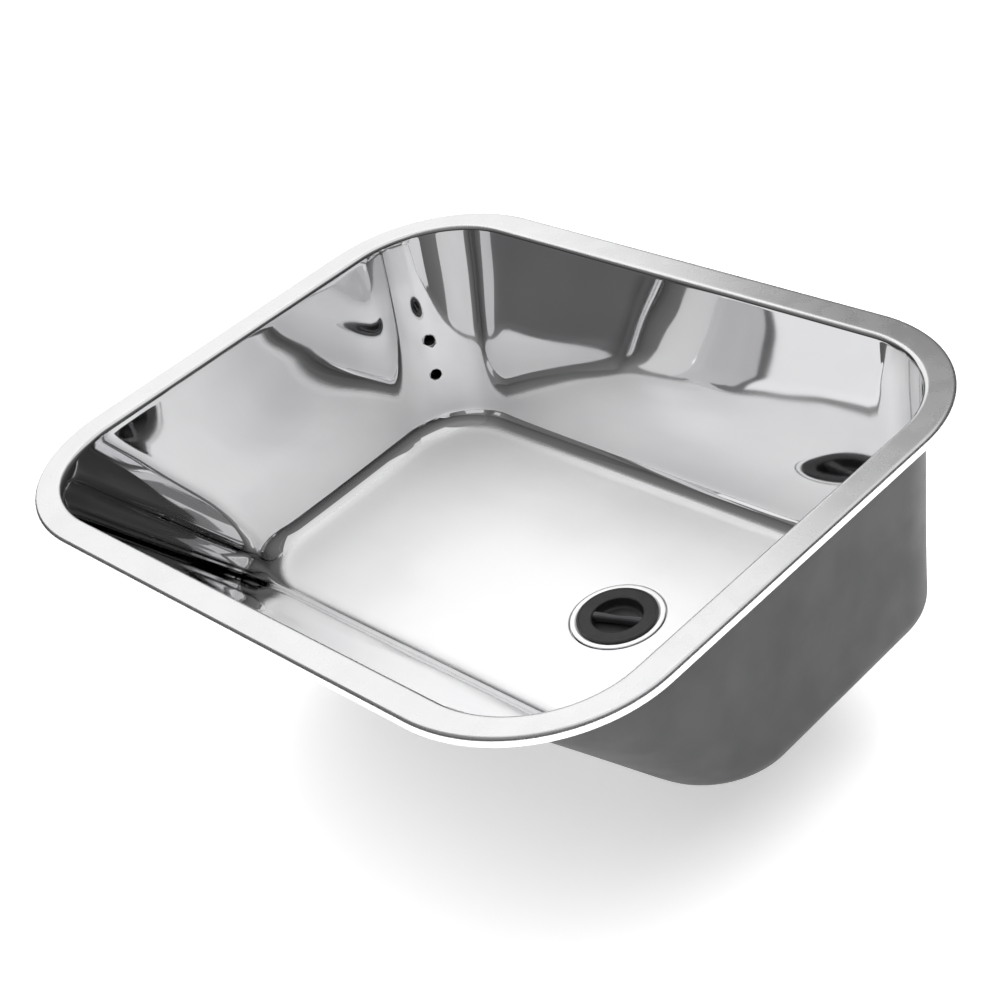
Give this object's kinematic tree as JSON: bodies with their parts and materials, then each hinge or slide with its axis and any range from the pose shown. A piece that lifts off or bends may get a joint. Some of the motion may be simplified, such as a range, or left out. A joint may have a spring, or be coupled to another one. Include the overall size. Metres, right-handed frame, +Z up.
{
  "type": "pedicure foot bath",
  "caption": "Inset pressed-steel foot bath: rounded-rectangle bowl with one sloped wall, flat turned-down rim, lift-out plug, strainer waste with threaded outlet and piped overflow.",
  "frame": {"origin": "centre of the rim's seat: the plane of the bench top that the rim rests on", "axes": "+Z up out of the bowl; +X along the rim's long side; -Y towards the user, where the wall slopes"},
  "size_m": [0.532, 0.44, 0.2558],
  "materials": {
    "shell_steel": "mirror-polished walls, satin floor and rim, dull mill finish outside",
    "foam_strip": "closed-cell foam",
    "waste_steel": "satin",
    "screw_steel": "turned",
    "box_steel": "dull, pressed",
    "insert_brass": "machined",
    "plug_plastic": "moulded, half gloss",
    "bar_plastic": "glossy",
    "seal_rubber": "matte",
    "body_plastic": "moulded polypropylene",
    "nut_plastic": "moulded polypropylene",
    "pipe_plastic": "extruded, slightly glossy"
  },
  "bodies": {
    "basin": {"basin_shell": "shell_steel", "rim_seal": "foam_strip", "waste_flange": "waste_steel", "waste_upper_seal": "seal_rubber", "waste_lower_seal": "seal_rubber", "waste_body": "body_plastic", "waste_screw": "screw_steel", "thread_insert": "insert_brass", "overflow_box": "box_steel", "overflow_spigot": "box_steel", "upper_union_nut": "nut_plastic", "upper_union_seal": "seal_rubber", "overflow_pipe": "pipe_plastic", "lower_union_nut": "nut_plastic", "lower_union_seal": "seal_rubber"},
    "plug": {"plug_body": "plug_plastic", "plug_grip_bar": "bar_plastic", "plug_seal": "seal_rubber"}
  },
  "joints": [
    {"name": "plug_lift", "type": "slide", "parent": "basin", "child": "plug", "axis": [0, 0, 1], "range_m": [0, 0.07]}
  ]
}
